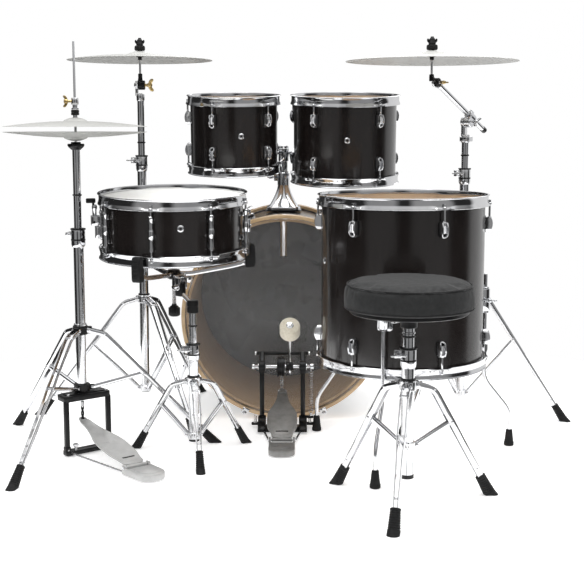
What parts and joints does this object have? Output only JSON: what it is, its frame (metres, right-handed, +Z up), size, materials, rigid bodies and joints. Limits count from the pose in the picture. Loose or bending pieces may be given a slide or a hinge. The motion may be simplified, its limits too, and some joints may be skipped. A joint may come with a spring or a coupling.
{
  "type": "acoustic drum kit",
  "caption": "Acoustic drum kit with bass drum, rack toms, floor tom, snare drum, hi-hat, cymbals on stands, foot pedals and a round throne, set out for playing.",
  "frame": {"origin": "centre of the kit outline at floor level", "axes": "+X across the kit to the floor tom side, +Y away from the player to the front of the bass drum, +Z up"},
  "size_m": [1.575, 1.4656, 1.0787],
  "materials": {
    "shell_lacquer": "dark gloss lacquer over maple",
    "shell_inside": "clear satin maple",
    "hoop_maple": "clear gloss maple",
    "chrome": "polished",
    "black_metal": "satin black powder coat",
    "footboard_metal": "satin, fine grained",
    "head_clear": "clear film",
    "head_coated": "white coated film",
    "head_dark": "dark grey film",
    "cymbal": "pale, very thin and see-through",
    "felt": "pressed felt",
    "rubber": "matte black",
    "brass_trim": "plated",
    "steel_wire": "plain wire",
    "seat_cover": "charcoal woven cover"
  },
  "bodies": {
    "root": {"bass_shell": "shell_lacquer", "bass_hoops": "hoop_maple", "bass_batter_head": "head_clear", "bass_front_head": "head_dark", "bass_lugs": "chrome", "tom_mount_base": "chrome", "floor_tom_shell": "shell_lacquer", "floor_tom_hoops": "chrome", "floor_tom_heads": "head_clear", "floor_tom_lugs": "chrome", "snare_stand_base": "chrome", "hihat_tripod": "chrome", "hihat_frame": "black_metal", "cymbal_stand_base": "chrome", "boom_stand_base": "chrome", "pedal_frame": "black_metal", "pedal_chain": "steel_wire", "pedal_spring": "steel_wire", "throne_base": "chrome", "stand_feet": "rubber"},
    "spur_left": {"spur_left": "chrome"},
    "spur_right": {"spur_right": "chrome"},
    "tom_post": {"tom_post": "chrome"},
    "tom_small": {"tom_arm_left": "chrome", "tom10_shell": "shell_lacquer", "tom10_hoops": "chrome", "tom10_heads": "head_clear", "tom10_lugs": "chrome"},
    "tom_large": {"tom_arm_right": "chrome", "tom12_shell": "shell_lacquer", "tom12_hoops": "chrome", "tom12_heads": "head_clear", "tom12_lugs": "chrome"},
    "floor_tom_legs": {"floor_tom_legs": "chrome"},
    "snare_post": {"snare_stand_post": "chrome"},
    "snare_basket": {"snare_basket": "chrome", "snare_shell": "shell_lacquer", "snare_hoops": "chrome", "snare_heads": "head_coated", "snare_lugs": "chrome", "snare_wires": "steel_wire", "snare_strainer": "chrome"},
    "strainer_lever": {"strainer_lever": "black_metal"},
    "hihat_upper": {"hihat_upper_tube": "chrome", "hihat_bottom_cymbal": "cymbal"},
    "hihat_rod": {"hihat_pull_rod": "chrome", "hihat_top_cymbal": "cymbal"},
    "hihat_footboard": {"hihat_footboard": "footboard_metal"},
    "cymbal_tube": {"cymbal_stand_tube": "chrome"},
    "cymbal_tilter": {"cymbal_tilter": "chrome"},
    "cymbal_left": {"cymbal_left": "cymbal"},
    "boom_tube": {"boom_stand_tube": "chrome"},
    "boom_clamp": {"boom_clamp": "chrome"},
    "boom_arm": {"boom_arm": "chrome"},
    "boom_tilter": {"boom_tilter": "chrome"},
    "cymbal_right": {"cymbal_right": "cymbal"},
    "pedal_footboard": {"pedal_footboard": "footboard_metal"},
    "pedal_beater": {"pedal_beater": "chrome"},
    "throne_post": {"throne_post": "chrome"},
    "throne_seat": {"throne_seat": "seat_cover"}
  },
  "joints": [
    {"name": "spur_left_fold", "type": "hinge", "parent": "root", "child": "spur_left", "pos_m": [-0.28308, 0.56977, 0.18784], "axis": [0.9272, 0, 0.3746], "range_deg": [0, 70]},
    {"name": "spur_right_fold", "type": "hinge", "parent": "root", "child": "spur_right", "pos_m": [0.23503, 0.56977, 0.18784], "axis": [0.9272, 0, -0.3746], "range_deg": [0, 70]},
    {"name": "tom_post_height", "type": "slide", "parent": "root", "child": "tom_post", "axis": [0, 0, 1], "range_m": [-0.03, 0.06]},
    {"name": "tom_small_tilt", "type": "hinge", "parent": "tom_post", "child": "tom_small", "pos_m": [-0.02802, 0.57177, 0.75], "axis": [1, 0, 0], "range_deg": [-8, 12]},
    {"name": "tom_large_tilt", "type": "hinge", "parent": "tom_post", "child": "tom_large", "pos_m": [-0.02802, 0.57177, 0.75], "axis": [1, 0, 0], "range_deg": [-8, 12]},
    {"name": "floor_tom_leg_height", "type": "slide", "parent": "root", "child": "floor_tom_legs", "axis": [0, 0, 1], "range_m": [0, 0.08]},
    {"name": "snare_height", "type": "slide", "parent": "root", "child": "snare_post", "axis": [0, 0, 1], "range_m": [-0.04, 0.03]},
    {"name": "snare_tilt", "type": "hinge", "parent": "snare_post", "child": "snare_basket", "pos_m": [-0.28502, -0.10143, 0.43], "axis": [0.6691, 0.7431, 0], "range_deg": [-5, 5]},
    {"name": "strainer_throw", "type": "hinge", "parent": "snare_basket", "child": "strainer_lever", "pos_m": [-0.4965, -0.12326, 0.59593], "axis": [0.2079, -0.9768, -0.0512], "range_deg": [0, 75]},
    {"name": "hihat_height", "type": "slide", "parent": "root", "child": "hihat_upper", "axis": [0, 0, 1], "range_m": [-0.08, 0]},
    {"name": "hihat_pedal", "type": "hinge", "parent": "root", "child": "hihat_footboard", "pos_m": [-0.37814, -0.29484, 0.019], "axis": [-0.7771, -0.6293, 0], "range_deg": [0, 2.5], "stiffness_Nm_per_rad": 20, "springref_deg": -16.04},
    {"name": "hihat_rod_travel", "type": "slide", "parent": "root", "child": "hihat_rod", "axis": [0, 0, -1], "range_m": [0, 0.011]},
    {"name": "cymbal_height", "type": "slide", "parent": "root", "child": "cymbal_tube", "axis": [0, 0, 1], "range_m": [-0.03, 0.12]},
    {"name": "cymbal_tilt", "type": "hinge", "parent": "cymbal_tube", "child": "cymbal_tilter", "pos_m": [-0.42902, 0.29377, 0.946], "axis": [1, 0, 0], "range_deg": [-20, 20]},
    {"name": "cymbal_left_spin", "type": "hinge", "parent": "cymbal_tilter", "child": "cymbal_left", "pos_m": [-0.42902, 0.29377, 1.03], "axis": [0, 0, 1], "continuous": true},
    {"name": "boom_height", "type": "slide", "parent": "root", "child": "boom_tube", "axis": [0, 0, 1], "range_m": [-0.03, 0.12]},
    {"name": "boom_raise", "type": "hinge", "parent": "boom_tube", "child": "boom_clamp", "pos_m": [0.49198, 0.25277, 0.843], "axis": [-0.757, 0.6534, 0], "range_deg": [-15, 20]},
    {"name": "boom_reach", "type": "slide", "parent": "boom_clamp", "child": "boom_arm", "axis": [-0.5796, -0.6715, 0.4617], "range_m": [-0.04, 0.04]},
    {"name": "boom_cymbal_tilt", "type": "hinge", "parent": "boom_arm", "child": "boom_tilter", "pos_m": [0.38524, 0.12912, 0.9472], "axis": [-0.757, 0.6534, 0], "range_deg": [-20, 20]},
    {"name": "cymbal_right_spin", "type": "hinge", "parent": "boom_tilter", "child": "cymbal_right", "pos_m": [0.36898, 0.10977, 1.02], "axis": [0, 0, 1], "continuous": true},
    {"name": "bass_pedal", "type": "hinge", "parent": "root", "child": "pedal_footboard", "pos_m": [-0.02852, -0.07023, 0.02], "axis": [-1, 0, 0], "range_deg": [0, 10], "stiffness_Nm_per_rad": 20, "springref_deg": -5.73, "deforming": ["pedal_chain"]},
    {"name": "beater_swing", "type": "hinge", "parent": "root", "child": "pedal_beater", "pos_m": [-0.02852, 0.11977, 0.175], "axis": [-1, 0, 0], "range_deg": [0, 75.5], "deforming": ["pedal_spring"]},
    {"name": "throne_height", "type": "slide", "parent": "root", "child": "throne_post", "axis": [0, 0, 1], "range_m": [-0.02, 0.12]},
    {"name": "throne_spin", "type": "hinge", "parent": "throne_post", "child": "throne_seat", "pos_m": [0.25298, -0.51623, 0.44], "axis": [0, 0, 1], "continuous": true}
  ],
  "couplings": [
    {"joint": "beater_swing", "follows": "bass_pedal", "ratio": 7.55},
    {"joint": "hihat_rod_travel", "follows": "hihat_pedal", "m_per_rad": 0.252}
  ]
}
